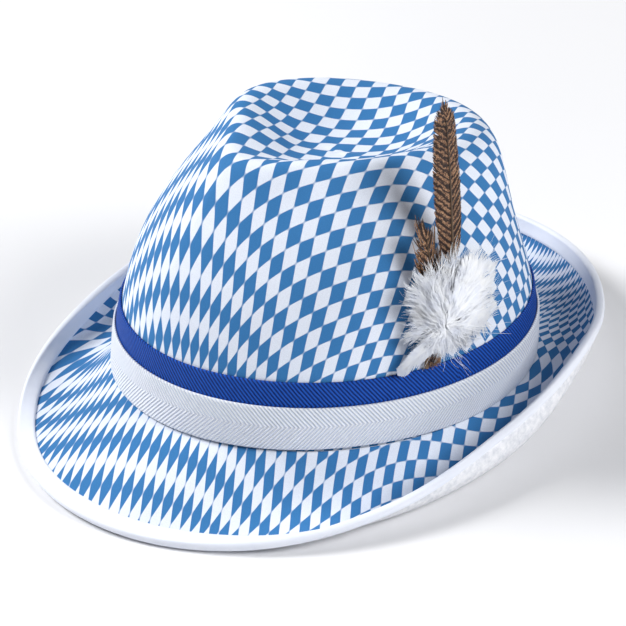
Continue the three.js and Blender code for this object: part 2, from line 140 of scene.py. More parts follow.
def finished(material, colour, height=None, look=None):
    # Feeds the shader its colour, and a bump of the look's strength and depth in millimetres.
    tree = material.node_tree
    shader = tree.nodes["Principled BSDF"]
    tree.links.new(colour, shader.inputs["Base Color"])
    if look:
        bump = addNode("ShaderNodeBump", {"Height": height, "Strength": look["bump"],
                                          "Distance": look["depth"] / 1000})
        tree.links.new(bump.outputs[0], shader.inputs["Normal"])
    return material


def maths(operation, *values, clamp=False):
    return addNode("ShaderNodeMath", dict(enumerate(values)), operation=operation,
                   use_clamp=clamp).outputs[0]


def dotUv(uv, a, b):
    return addNode("ShaderNodeVectorMath", {0: uv, 1: (a, b, 0)},
                   operation="DOT_PRODUCT").outputs["Value"]


def mixColour(factor, a, b, blend="MIX"):
    a, b = ((*value, 1) if isinstance(value, tuple) else value for value in (a, b))
    return addNode("ShaderNodeMix", {0: factor, 6: a, 7: b}, data_type="RGBA", blend_type=blend).outputs[2]


def noise(vector, scale, detail=2.0, roughness=0.5):
    return addNode("ShaderNodeTexNoise", {"Vector": vector, "Scale": scale, "Detail": detail,
                                          "Roughness": roughness}).outputs[0]


def mapped(value, low, high, toLow=0.0, toHigh=1.0):
    return addNode("ShaderNodeMapRange", {0: value, 1: low, 2: high, 3: toLow, 4: toHigh}).outputs[0]


def patches(where, size, detail, low=0.0, high=1.0):
    # Noise whose usual span runs from low to high.
    return mapped(noise(where, size, detail), 0.3, 0.7, low, high)


def srgb(*channels):
    # Screen colour from 0 to 255 turned into linear light.
    return tuple(c / 12.92 if c <= 0.04045 else ((c + 0.055) / 1.055) ** 2.4
                 for c in (channel / 255 for channel in channels))


def ribs(value, pitch):
    # A sine wave that repeats every `pitch` millimetres of the value.
    return maths("SINE", maths("MULTIPLY", value, 2 * math.pi / pitch))


def weave(uv, pitch):
    # Height of a plain weave: warp and weft waves crossed, from uv in millimetres.
    turns = 2 * math.pi / pitch
    return maths("MULTIPLY", maths("SINE", dotUv(uv, turns, 0)), maths("SINE", dotUv(uv, 0, turns)))


# Each lozenge is `wide` across the hat and `long` from front to back on the flat cloth; `corner`
# is where one of their crossings lies and `bias` widens the blue ones. Noise sizes are per metre.
lozenge = {
    "wide": 7.33, "long": 12.9, "corner": (27.1, -40.5), "turn": 0.065, "bias": -0.012, "edge": 0.05,
    "blue": srgb(57, 120, 177), "white": srgb(228, 234, 246), "thread": 0.42, "bump": 0.35, "depth": 0.05,
    "waver": 0.10, "waverSize": 160, "bleed": 0.025, "bleedSize": 22,
    "speckle": (0.93, 1.05), "speckleSize": 2600, "tone": (0.96, 1.03), "toneSize": 14,
}


def latticeMaterial():
    # Blue where sin(pi i) sin(pi j) is above a slightly uneven zero; i and j count the
    # lozenges along both diagonals, from uv, the flat cloth's millimetres.
    material, uv, where = newMaterial("lozengeCloth", 0.85, 0.04, 0.4, 0.2)
    p, q = lozenge["wide"], lozenge["long"]
    waver = maths("SUBTRACT", noise(where, lozenge["waverSize"], 1), 0.5)
    waves = []
    for sign in (1, -1):
        along = dotUv(uv, math.pi / p, sign * math.pi / q)
        shift = -math.pi * (lozenge["corner"][0] / p + sign * lozenge["corner"][1] / q)
        wavy = maths("MULTIPLY_ADD", waver, lozenge["waver"] * sign, along)
        waves.append(maths("SINE", maths("ADD", wavy, shift)))
    bleed = patches(where, lozenge["bleedSize"], 1, -lozenge["bleed"], lozenge["bleed"])
    side = maths("ADD", maths("MULTIPLY", *waves), bleed)
    share = mapped(side, -lozenge["edge"] - lozenge["bias"], lozenge["edge"] - lozenge["bias"])
    printed = mixColour(share, lozenge["blue"], lozenge["white"])
    grain = maths("MULTIPLY", *(patches(where, lozenge[key + "Size"], 2, *lozenge[key])
                                for key in ("speckle", "tone")))
    shade = addNode("ShaderNodeCombineXYZ", {0: grain, 1: grain, 2: grain}).outputs[0]
    return finished(material, mixColour(1.0, printed, shade, "MULTIPLY"),
                    weave(uv, lozenge["thread"]), lozenge)


backing = {"cloudSize": 330, "fibreSize": 1700, "cloudBump": 1.6, "bump": 0.3, "depth": 0.15,
           "shade": srgb(208, 211, 218), "light": srgb(243, 243, 246)}


def feltMaterial():
    # Pale bonded fibre: broad noise for the pressed clouds and fine noise for the fibres.
    material, _, where = newMaterial("paleLining", 0.9, 0.1)
    cloudy = noise(where, backing["cloudSize"], 4, 0.65)
    fibre = noise(where, backing["fibreSize"], 3, 0.7)
    tone = mixColour(mapped(cloudy, 0.3, 0.7), backing["shade"], backing["light"])
    return finished(material, tone, maths("MULTIPLY_ADD", cloudy, backing["cloudBump"], fibre), backing)


# Ribs rise by `climb` for each millimetre along the tape; threads cross them the other way. The relief's
# share sets how far the painted shade and painted highlight follow it.
herringbone = {"rib": 1.9, "climb": 0.9, "thread": 0.5, "threadClimb": -1.1, "threadShare": 0.22,
               "uneven": 0.35, "unevenSize": 400, "fade": 0.3, "fadeSize": 900, "reliefShadeShare": 0.85,
               "bump": 0.8, "depth": 0.22}


def tapeMaterial(name, rib, shadedGroove, height, roughness, sheen):
    # Herringbone: the rib's place is uv.x plus the distance from the tape's middle line, each
    # rib is a rounded wave, and fine threads cross it. Its colour runs from painted shade in
    # the grooves to a painted highlight on the ribs.
    material, uv, where = newMaterial(name, roughness, sheen, specular=0.2)
    along, up = dotUv(uv, 1, 0), dotUv(uv, 0, 1)
    chevron = maths("ABSOLUTE", maths("SUBTRACT", up, height / 2))
    phase = maths("MULTIPLY_ADD", chevron, herringbone["climb"], along)
    loose = noise(where, herringbone["unevenSize"], 1)
    wave = ribs(maths("MULTIPLY_ADD", loose, herringbone["uneven"], phase), herringbone["rib"])
    crossing = maths("MULTIPLY_ADD", chevron, herringbone["threadClimb"], along)
    threads = ribs(crossing, herringbone["thread"])
    relief = maths("MULTIPLY_ADD", threads, herringbone["threadShare"], wave)
    share = maths("MULTIPLY", mapped(relief, -0.8, 0.7), herringbone["reliefShadeShare"])
    worn = noise(where, herringbone["fadeSize"], 2)
    # fade runs from painted shade in the grooves to a painted highlight on the ribs, following the relief,
    # loosened by random noise.
    fade = maths("MULTIPLY_ADD", worn, herringbone["fade"], share, clamp=True)
    return finished(material, mixColour(fade, shadedGroove, rib), relief, herringbone)


biasTape = {"cloudSize": 90, "cloudBump": 3.0, "pitch": 0.5, "bump": 0.35, "depth": 0.05,
            "shade": srgb(226, 231, 244), "light": srgb(240, 243, 251)}


def bindingMaterial():
    # White bias tape: a fine diagonal weave and faint cloudiness.
    material, uv, where = newMaterial("whiteBinding", 0.62, 0.15, specular=0.4)
    cloudy = noise(where, biasTape["cloudSize"], 3)
    turns = 2 * math.pi / biasTape["pitch"]
    height = maths("MULTIPLY_ADD", cloudy, biasTape["cloudBump"], maths("SINE", dotUv(uv, turns, turns)))
    return finished(material, mixColour(cloudy, biasTape["shade"], biasTape["light"]), height, biasTape)


def catmullRom(p0, p1, p2, p3, u):
    # The cubic from p1 to p2 whose slope at each is half the step between its neighbours.
    return (p1 + (p2 - p0) / 2 * u + (p0 - 2.5 * p1 + 2 * p2 - p3 / 2) * u ** 2
            + ((p3 - p0) / 2 + 1.5 * (p1 - p2)) * u ** 3)


# Crown

crown = {
    "footLength": 205, "footWidth": 169, "wall": 1.6, "height": 114, "frontRise": 3.2, "endDrop": 3.2,
    "crestLength": 136, "crestWidth": 98, "setback": 1.5, "pinchDepth": 11, "pinchAngle": 30,
    "pinchSpread": 28, "dentDepth": 14.7, "dentTilt": 0.067,
    # foot and crest shares, pinch, rise, sink, lean
    "sections": np.array([
        (1, 0, 0, 0, 0, 0),
        (0.998, 0, 0, 0.14, 0, 0),
        (0.985, 0, 0, 0.3, 0, 0),
        (0.896, 0, 0.46, 0.62, 0, 0.051),
        (0, 1.17, 1, 0.886, 0, -0.046),
        (0, 1, 1, 1.004, 0, 0),
        (0, 0.82, 0.8, 1, 0.1, 0),
        (0, 0.49, 0.49, 1, 0.75, 0),
        (0, 0.3, 0, 1, 1, 0),
        (0, 0, 0, 1, 1, 0)]),
    "around": 400, "outerRows": 150, "lastRow": 0.997, "tuck": 0.9,
    # faint unevenness: size, waves round the hat and their start, rate up the wall and its start
    "uneven": [(0.35, 3, 0.6, 7.3, 0.0), (0.25, 5, 2.1, 11.0, 1.0)], "unevenFrom": 36, "unevenOver": 12,
}


def splineWeights(count, t):
    # Weights of a cubic B-spline's `count` points at each t, by the Cox-de Boor recursion
    # on even knots that repeat four times at both ends.
    knots = np.concatenate([[0.0] * 3, np.linspace(0, 1, count - 2), [1.0] * 3])
    t = np.clip(t, 0, 1 - 1e-9)[:, None]
    weights = ((knots[:-1] <= t) & (t < knots[1:])).astype(float)
    for k in (1, 2, 3):
        n = len(knots) - k - 1
        rise = knots[k:k + n] - knots[:n]
        fall = knots[k + 1:k + 1 + n] - knots[1:1 + n]
        weights = ((t - knots[:n]) / np.where(rise > 0, rise, 1) * weights[:, :n]
                   + (knots[k + 1:k + 1 + n] - t) / np.where(fall > 0, fall, 1) * weights[:, 1:n + 1])
    return weights


def ray(turn):
    # The foot oval's radius along each ray, its outward direction, and the angle from the front.
    c, s = np.cos(turn), np.sin(turn)
    a, b = crown["footWidth"] / 2, crown["footLength"] / 2
    radius = 1 / np.hypot(c / a, s / b)
    outward = unit(np.stack([c / a ** 2, s / b ** 2, 0 * c], -1))
    return c, s, radius, outward, np.arctan2(c, -s)


def crownSurface(turn, t):
    # Rows of points from foot to hollow: radius and height along each ray are the B-spline
    # of the sections' shares of the foot oval, the crest oval, the pinch and the dent.
    c, s, foot, _, front = ray(turn)
    a, b, back = crown["crestWidth"] / 2, crown["crestLength"] / 2, crown["setback"]
    square = (c / a) ** 2 + (s / b) ** 2
    linear = -2 * s * back / b ** 2
    crest = (-linear + np.sqrt(linear ** 2 - 4 * square * ((back / b) ** 2 - 1))) / (2 * square)
    height = crown["height"] + crown["frontRise"] * np.cos(front) - crown["endDrop"] * np.cos(2 * front)
    offset = (np.abs(np.degrees(front)) - crown["pinchAngle"]) / crown["pinchSpread"]
    pinch = crown["pinchDepth"] * np.exp(-offset ** 2)
    depth = height - crown["height"] + crown["dentDepth"]
    footShare, crestShare, pinchShare, rise, sink, lean = np.split(crown["sections"], 6, 1)
    radius = np.where(footShare > 0, (footShare + lean * np.cos(front)) * foot,
                      np.where(crestShare > 0, crestShare + lean * np.cos(front), 0) * crest)
    radius = np.maximum(radius - pinchShare * pinch, 0)
    z = rise * height - sink * depth - np.where(sink > 0.5, crown["dentTilt"] * radius * s, 0)
    weights = splineWeights(len(crown["sections"]), t)
    r, z = weights @ radius, weights @ z
    return np.stack([r * c, r * s, z], -1)


def ringNormals(points):
    # Unit normals of a closed ring grid, from the cross product of its two directions.
    across = np.roll(points, -1, 1) - np.roll(points, 1, 1)
    along = np.gradient(points, axis=0)
    return unit(np.cross(across, along))


# How the moulding drew the flat cloth. Below the crest, every 30 degrees from the back round
# by the wearer's right: cloth used per millimetre of wall, cloth gained over the crest, and the
# twist in degrees at the crest and at the foot. On the brim: cloth gained at the root and
# towards the edge, and the twist at the root and towards the edge.
drawn = {
    "top": 0.97, "blend": 12.0, "gainLength": 8.0, "twistLength": 3.0, "wallLength": 70.0, "brimLength": 45.0,
    "wall": np.array([
        (0.82, 2, -7.5, -6), (0.83, 1, -3.5, -4), (0.83, 1.5, -1, -4), (0.84, 1.5, 2, -6),
        (0.84, 0.5, 8, -9.5), (0.69, 4.7, 8, -20), (0.6, 3, -2.8, -13), (0.78, 0.5, 0, -4),
        (0.86, -1.3, 0.5, -3.7), (0.85, 3.4, -2.3, -3), (0.82, 8, -2, -4), (0.89, 5.8, -7.2, -7)]),
    "brim": np.array([
        (0, 10, 0, 0), (-2, 16, 28, 0), (-5, 10, 18, 0), (-9, 4, 8, 0),
        (-14, 2, 8, -2), (-14.5, 9, 10, -11), (-7, -2, 8, -9), (-3, -8, 3.4, -2),
        (1, -4, 0, 2), (5, -2, -7.5, 3), (5, 12, -19, 0), (2, 18, -30, 0)]),
}


def roundHat(column, turn):
    # A 30-degree column read at any turn: a periodic Catmull-Rom curve through its rows.
    spot = (np.degrees(ray(turn)[4]) + 180) / 30
    row = np.floor(spot).astype(int)
    return catmullRom(*(column[(row + k) % len(column)] for k in (-1, 0, 1, 2)), spot - row)


def crownArc(points):
    # Arc length from the hollow's middle, and the part of it beyond the crest with a soft start.
    step = np.linalg.norm(np.diff(points[::-1], axis=0), axis=-1)
    arc = np.concatenate([np.zeros((1, points.shape[1])), np.cumsum(step, 0)])[::-1]
    crest = np.take_along_axis(arc, points[..., 2].argmax(0)[None], 0)
    return arc, drawn["blend"] * np.logaddexp(0, (arc - crest) / drawn["blend"])


def flatCloth(arc, beyond, turn, onBrim=None):
    # Where points lay on the flat cloth, in millimetres: the reach adds the top's arc, the wall's
    # share and the gains; the direction adds the twists to the ray's own.
    share, gain, crestTwist, footTwist = (roundHat(drawn["wall"][:, k], turn) for k in range(4))
    rootGain, edgeGain, rootTwist, edgeTwist = (roundHat(drawn["brim"][:, k], turn) for k in range(4))
    edge = 0 if onBrim is None else onBrim / drawn["brimLength"]
    gained = gain * (1 - np.exp(-beyond / drawn["gainLength"]))
    reach = drawn["top"] * (arc - beyond) + share * beyond + gained
    ramp = np.clip(beyond / drawn["wallLength"], 0, 1)
    ramp = ramp * ramp * (3 - 2 * ramp)
    twist = crestTwist * (1 - np.exp(-beyond / drawn["twistLength"])) + (footTwist - crestTwist) * ramp
    if onBrim is not None:
        reach = reach + rootGain + edgeGain * edge
        twist = twist + rootTwist + edgeTwist * edge
    towards = turn + np.radians(twist) + lozenge["turn"]
    return np.stack([reach * np.cos(towards), reach * np.sin(towards)], -1)


def makeCrown():
    # Outer wall, a hem down inside the brim's root, and an inner wall one cloth thickness in
    # along the normals; fans close both walls at the hollow's middle.
    turn = evenTurns(crown["around"])
    t = np.linspace(0, crown["lastRow"], crown["outerRows"])
    outer = crownSurface(turn, t)
    uneven = sum(size * np.sin(count * turn + start) * np.sin(rate * t + first)[:, None]
                 for size, count, start, rate, first in crown["uneven"])
    uneven = uneven * np.clip((outer[..., 2] - crown["unevenFrom"]) / crown["unevenOver"], 0, 1)
    outer = outer + ringNormals(outer) * uneven[..., None]
    inside = (outer - ringNormals(outer) * crown["wall"])[::-1][::2][:-1]
    c, s, foot, outward, _ = ray(turn)
    hem = np.stack([foot * c, foot * s, np.full(len(turn), -crown["tuck"])], -1)
    rows = np.concatenate([(hem - outward * crown["wall"])[None], hem[None], outer, inside])
    rows = np.concatenate([rows, rows[:1]])
    cloth = flatCloth(*crownArc(outer), turn)
    uv = np.concatenate([cloth[:1], cloth[:1], cloth, cloth[::-1][::2][:-1], cloth[:1]])
    count = len(turn)
    outerEnd = 2 + len(outer)
    faces = np.concatenate([gridFaces(outerEnd, count, True),
                            gridFaces(len(rows) - outerEnd, count, True, outerEnd * count)])
    slots = np.concatenate([np.zeros(count * (outerEnd - 1)), np.ones(count * (len(rows) - outerEnd - 1))])
    slots[:count] = 1
    caps = [np.arange(count) + (outerEnd - 1) * count, (np.arange(count) + outerEnd * count)[::-1]]
    loops = np.concatenate([faces.ravel(), *caps])
    buildPiece("crownCloth", "crown", rows.reshape(-1, 3), faces,
               uv.reshape(-1, 2)[loops], [lozengeCloth, lining], np.concatenate([slots, [0, 1]]), caps)


# Brim

brim = {
    "width": 48, "wall": 1.8, "curl": 1.78, "clearance": 0.3, "around": 480, "steps": 96,
    "lowerRows": 36, "upperRows": 60, "tuck": 0.5,
    "binding": 7, "bindingBelow": 2.6, "bindingWall": 0.8, "pad": 0.22, "dip": 0.35, "dipShare": 0.09,
    # every 30 degrees from the front: width share, slope at the root and at the edge
    "sections": np.array([(1.12, -31, -33), (1.04, -52, 10), (1.02, -64, 87), (1.00, -42, 143),
                          (0.94, 5, 110), (0.87, 10, 96), (0.90, 7, 85)]),
}


def aroundHat(values, front):
    # A table column read at any angle from the front: Catmull-Rom through its rows, mirrored.
    spot = np.abs(np.degrees(front)) / 30
    row = np.clip(spot.astype(int), 0, len(values) - 2)
    ends = np.concatenate([values[1:2], values, values[-2:-1]])
    return catmullRom(*(ends[row + k] for k in range(4)), spot - row)


def addedUp(steps):
    # Running sum of the means of neighbouring steps, from zero.
    return np.concatenate([0 * steps[:1], np.cumsum((steps[1:] + steps[:-1]) / 2, 0)])


def brimStrips(turn):
    # Along each ray the slope turns from root to edge, and small steps along it add up.
    c, s, foot, outward, front = ray(turn)
    table = brim["sections"]
    width = brim["width"] * aroundHat(table[:, 0], front)
    root, edge = (np.radians(aroundHat(table[:, k], front)) for k in (1, 2))
    slope = root + (edge - root) * np.linspace(0, 1, brim["steps"] + 1)[:, None] ** brim["curl"]
    start = brim["clearance"] + brim["wall"] / 2 * np.abs(np.sin(root))
    step = width / brim["steps"]
    return {"width": width, "slope": slope, "outward": outward,
            "foot": np.stack([foot * c, foot * s, 0 * c], -1),
            "out": start + addedUp(np.cos(slope) * step), "up": addedUp(np.sin(slope) * step)}


def brimPoint(strips, t, off, beyond=0.0):
    # The point at share t of the width, `off` above the middle surface, `beyond` further on.
    spot = np.clip(t, 0, 1) * brim["steps"]
    k = np.minimum(spot.astype(int), brim["steps"] - 1)
    share = spot - k
    out, up, slope = (np.take_along_axis(strips[key], k, 0) * (1 - share)
                      + np.take_along_axis(strips[key], k + 1, 0) * share for key in ("out", "up", "slope"))
    outwards = out - off * np.sin(slope) + beyond * np.cos(slope)
    height = up + off * np.cos(slope) + beyond * np.sin(slope)
    return (strips["foot"] + strips["outward"] * outwards[..., None]
            + height[..., None] * upwards)


def makeBrim():
    # Lower face from root to edge, upper face back to the root, both half a wall from the middle.
    turn = evenTurns(brim["around"])
    strips = brimStrips(turn)
    ones = np.ones((1, len(turn)))
    lowerT = np.linspace(0, 1, brim["lowerRows"])[:, None] * ones
    upperT = np.linspace(1, 0, brim["upperRows"])[:, None] * ones
    half = brim["wall"] / 2
    lower, upper = (brimPoint(strips, t, side * np.ones_like(t), -brim["tuck"] * (t == 0))
                    for t, side in ((lowerT, -half), (upperT, half)))
    rows = np.concatenate([lower, upper, lower[:1]])
    t = np.concatenate([lowerT, upperT, lowerT[:1]])
    wall = crownSurface(turn, np.linspace(0, crown["lastRow"], crown["outerRows"]))
    arc, beyond = (grid[:1] for grid in crownArc(wall))
    onBrim = t * strips["width"]
    uv = flatCloth(arc + onBrim, beyond + onBrim, turn, onBrim)
    faces = gridFaces(len(rows), len(turn), True)
    slots = np.zeros(len(faces))
    slots[:len(turn) * (len(lower) - 1)] = 1
    slots[-len(turn):] = 1
    buildPiece("brimCloth", "brim", rows.reshape(-1, 3), faces,
               uv.reshape(-1, 2)[faces.ravel()], [lozengeCloth, lining], slots)


def loopUv(rows, cols, along, across):
    # uv at the corners of a closed grid's faces: the distance round the ring runs on past its seam.
    r = np.arange(rows - 1)[:, None]
    c = np.arange(cols)[None, :]
    corners = [(r, c), (r, c + 1), (r + 1, c + 1), (r + 1, c)]
    return np.stack([np.stack([along[cc + 0 * rr], across[rr, cc % cols]], -1)
                     for rr, cc in corners], 2).reshape(-1, 2)


def ringLength(ring):
    # Distance round a closed ring at each of its points, with the whole length last.
    return np.concatenate([[0], np.cumsum(np.linalg.norm(np.roll(ring, -1, 0) - ring, axis=-1))])


def makeBinding():
    # A tape folded over the edge: from its lower seam out, round the fold and back on top,
    # a little padded between the seams.
    turn = evenTurns(brim["around"])
    strips = brimStrips(turn)
    half = brim["wall"] / 2
    reach = brim["clearance"] + brim["bindingWall"]
    skin = half + reach
    flat = np.linspace(0, 1, 9)
    fold = np.radians(np.linspace(-90, 90, 11)[1:-1])
    pad = brim["pad"] * np.sin(np.pi * np.clip(flat * 1.1, 0, 1))
    pad = pad - brim["dip"] * np.exp(-(flat / brim["dipShare"]) ** 2)
    share = np.concatenate([[0], flat, np.ones(len(fold)), flat[::-1], [0]])
    off = np.concatenate([[-half], -skin - pad, skin * np.sin(fold), (skin + pad)[::-1], [half]])
    beyond = np.concatenate([[0], 0 * flat, reach * np.cos(fold), 0 * flat, [0]])
    seam = np.where(np.arange(len(share)) < len(flat) + 1, brim["bindingBelow"], brim["binding"])
    grid = lambda column: column[:, None] * np.ones((1, len(turn)))
    rows = brimPoint(strips, 1 - grid(seam * (1 - share)) / strips["width"], grid(off), grid(beyond))
    rows = np.concatenate([rows, rows[:1]])
    across = grid(np.linspace(0, 2 * brim["binding"] + 2, len(rows)))
    faces = gridFaces(len(rows), len(turn), True)
    uv = loopUv(len(rows), len(turn), ringLength(rows[len(rows) // 2]), across)
    buildPiece("edgeBinding", "edge_binding", rows.reshape(-1, 3), faces, uv, [binding])


# Tapes

tapes = {
    "blueTop": 33, "blueFoot": 12, "whiteTop": 22, "wall": 1.0, "clearance": 0.3, "around": 480,
    "rim": np.array([(0.0, 0.0), (0.0, 0.6), (0.012, 0.9)]),  # shares of the height and of the wall
    # The rib colours hold a painted highlight and the groove colours painted shade: lit and shaded copies of
    # each tape's dye.
    "blueRibLit": srgb(20, 86, 190), "blueGrooveShaded": srgb(0, 20, 84),
    "whiteRibLit": srgb(246, 249, 254), "whiteGrooveShaded": srgb(206, 214, 232),
}


def wallAt(turn, height):
    # The crown's outer wall at given heights along each ray, between the nearest rows of its grid.
    t = np.linspace(0, 0.55, 240)
    wall = crownSurface(turn, t)
    z = wall[..., 2]
    k = np.clip((z[None] < height[:, None]).sum(1) - 1, 0, len(t) - 2)
    low, high = np.take_along_axis(z, k, 0), np.take_along_axis(z, k + 1, 0)
    share = ((height - low) / (high - low))[..., None]
    read = lambda n: np.take_along_axis(wall, n[..., None], 0)
    return read(k) * (1 - share) + read(k + 1) * share


def makeTape(name, node, foot, top, inner, material):
    # A band round the crown: its section is flat outside with rounded edges.
    turn = evenTurns(tapes["around"])
    outward = ray(turn)[3]
    foot = foot * np.ones(len(turn))
    rim = tapes["rim"]
    share = np.concatenate([rim[:, 0], np.linspace(0.03, 0.97, 12), 1 - rim[::-1, 0], [0]])
    off = np.concatenate([rim[:, 1], np.ones(12), rim[::-1, 1], [0]]) * tapes["wall"]
    height = foot + (top - foot) * share[:, None]
    rows = wallAt(turn, height) + outward * (inner + off)[:, None, None]
    faces = gridFaces(len(rows), len(turn), True)
    uv = loopUv(len(rows), len(turn), ringLength(rows[8]), height - foot)
    buildPiece(name, node, rows.reshape(-1, 3), faces, uv, [material])


def whiteFoot():
    # The white tape's lower edge clears the brim's upper face at the root.
    turn = evenTurns(tapes["around"])
    root = np.radians(aroundHat(brim["sections"][:, 1], ray(turn)[4]))
    outer = tapes["clearance"] * 2 + tapes["wall"] * 2
    above = lambda out: brim["wall"] / 2 / np.cos(root) + out * np.tan(root)
    return np.maximum(above(0), above(outer)) + tapes["clearance"]


lozengeCloth = latticeMaterial()
lining = feltMaterial()
binding = bindingMaterial()
blueTape = tapeMaterial("blueHerringbone", tapes["blueRibLit"], tapes["blueGrooveShaded"],
                        tapes["blueTop"] - tapes["blueFoot"], 0.6, 0.0)
whiteTape = tapeMaterial("whiteHerringbone", tapes["whiteRibLit"], tapes["whiteGrooveShaded"],
                         tapes["whiteTop"], 0.65, 0.08)

makeCrown()
makeBrim()
makeBinding()
makeTape("blueTape", "blue_tape", tapes["blueFoot"], tapes["blueTop"],
         tapes["clearance"], blueTape)
makeTape("whiteTape", "white_tape", whiteFoot(), tapes["whiteTop"],
         2 * tapes["clearance"] + tapes["wall"], whiteTape)
print("cloth made")


# Feathers

# Places beside the feathers' seat are (back, up, out): millimetres along the wall towards the
# back, up from the seat, and away from the crown.
seat = {"angle": 82, "height": 34.5, "spread": 0.9, "wallRows": 90, "wallColumns": 61,
        "topShare": 0.9, "fade": 6}


def seatFrame():
    # The seat on the wall at its angle and height, with the directions outwards and back.
    turn = np.array([math.radians(seat["angle"] - 90)])
    point = wallAt(turn, np.array([[float(seat["height"])]]))[0, 0]
    outward = ray(turn)[3][0]
    return point, outward, np.array([-outward[1], outward[0], 0.0])


seatPoint, seatOut, seatBack = seatFrame()


def fromSeat(points):
    # The seat plus back, out and up times their own directions.
    return (seatPoint + points[..., :1] * seatBack + points[..., 2:] * seatOut
            + points[..., 1:2] * upwards)


def wallGap(points):
    # How far points beside the seat lie outside the crown's wall, along the ray at their height.
    spots = fromSeat(points).reshape(-1, 3)
    t = np.linspace(0, 0.62, seat["wallRows"])
    turns = np.linspace(-seat["spread"], seat["spread"], seat["wallColumns"])
    wall = crownSurface(turns, t)
    angle = (np.arctan2(spots[:, 1], spots[:, 0]) - turns[0]) / (turns[1] - turns[0])
    angle = np.clip(angle, 0, len(turns) - 1.001)
    a = angle.astype(int)
    k = np.clip((wall[:, a, 2] < spots[:, 2]).sum(0) - 1, 0, len(t) - 2)
    share = ((spots[:, 2] - wall[k, a, 2]) / (wall[k + 1, a, 2] - wall[k, a, 2]))[:, None]
    near, far = (wall[k, b, :2] * (1 - share) + wall[k + 1, b, :2] * share for b in (a, a + 1))
    spot = near + (far - near) * (angle - a)[:, None]
    gap = np.linalg.norm(spots[:, :2], axis=1) - np.linalg.norm(spot, axis=1)
    return gap.reshape(points.shape[:-1])


def keepOff(points, clear):
    # Moves points away from the crown where they come closer to its wall than `clear`,
    # fading out where the wall bends over into the top.
    top = seat["topShare"] * crown["height"]
    below = np.clip((top - fromSeat(points)[..., 2]) / seat["fade"], 0, 1)
    moved = points.copy()
    moved[..., 2] += np.clip(clear - wallGap(points), 0, 30) * below
    return moved


def smoothPath(rows, t):
    # A curve through the rows' points at even parameters: Catmull-Rom with open ends.
    rows = np.asarray(rows, float)
    ends = np.concatenate([[2 * rows[0] - rows[1]], rows, [2 * rows[-1] - rows[-2]]])
    spot = np.clip(t, 0, 1) * (len(rows) - 1)
    k = np.minimum(spot.astype(int), len(rows) - 2)
    return catmullRom(*(ends[k + n] for n in range(4)), (spot - k)[..., None])


def ribbonGrid(lines, width, facing):
    # Thin ribbons along lines (strand, step, 3): two edges set `width` apart, across the line
    # and the facing direction.
    along = np.gradient(lines, axis=1)
    side = unit(np.cross(along, facing)) * (width / 2)[..., None]
    return np.stack([lines - side, lines + side], 2)


def ribbonMesh(grids, uvs):
    # Vertices, faces and uv of many ribbon grids (strand, step, 2, 3) one after another.
    points, faces, corners, start = [], [], [], 0
    for grid, uv in zip(grids, uvs):
        strands, steps = grid.shape[:2]
        cell = np.array([0, 1, 3, 2])
        first = np.arange(strands)[:, None, None] * steps * 2 + np.arange(steps - 1)[None, :, None] * 2
        quads = (first + cell).reshape(-1, 4)
        points.append(grid.reshape(-1, 3))
        faces.append(quads + start)
        flat = np.repeat(uv[:, :, None], 2, 2).reshape(-1, 2)
        corners.append(flat[quads.ravel()])
        start += strands * steps * 2
    return np.concatenate(points), np.concatenate(faces), np.concatenate(corners)


def tube(line, radius, sides=8):
    # A round rod: at each point of the line a circle across it, cos and sin of even turns
    # times two directions at right angles.
    along = unit(np.gradient(line, axis=0))
    first = unit(np.cross(along, [0.3, 0.2, 1.0]))
    second = np.cross(along, first)
    turn = evenTurns(sides)[None, :, None]
    circle = np.cos(turn) * first[:, None] + np.sin(turn) * second[:, None]
    return line[:, None] + radius[:, None, None] * circle


def tiltedUp(local, count, steps, amount):
    # Facing directions of ribbons: up, tilted at random by about `amount`.
    tilt = amount * local.standard_normal((count, 1, 3))
    return unit(upwards + tilt * np.ones((1, steps, 1)))


# Barbs: the last root on the shaft, where they begin to close in on it, how their lengths vary,
# how they cling in tufts, how they fray, sag and taper, and how far each tilts.
barb = {"lastRoot": 0.988, "jitter": 0.6, "closing": 0.09, "closed": 0.08, "uneven": (0.02, 0.1),
        "tuftChance": 0.16, "looseness": 0.25, "frayPower": 8, "steps": 9, "bend": 1.2, "sagWidth": 6,
        "lift": 0.12, "taper": 0.75, "taperPower": 2.2, "tilt": 0.22}


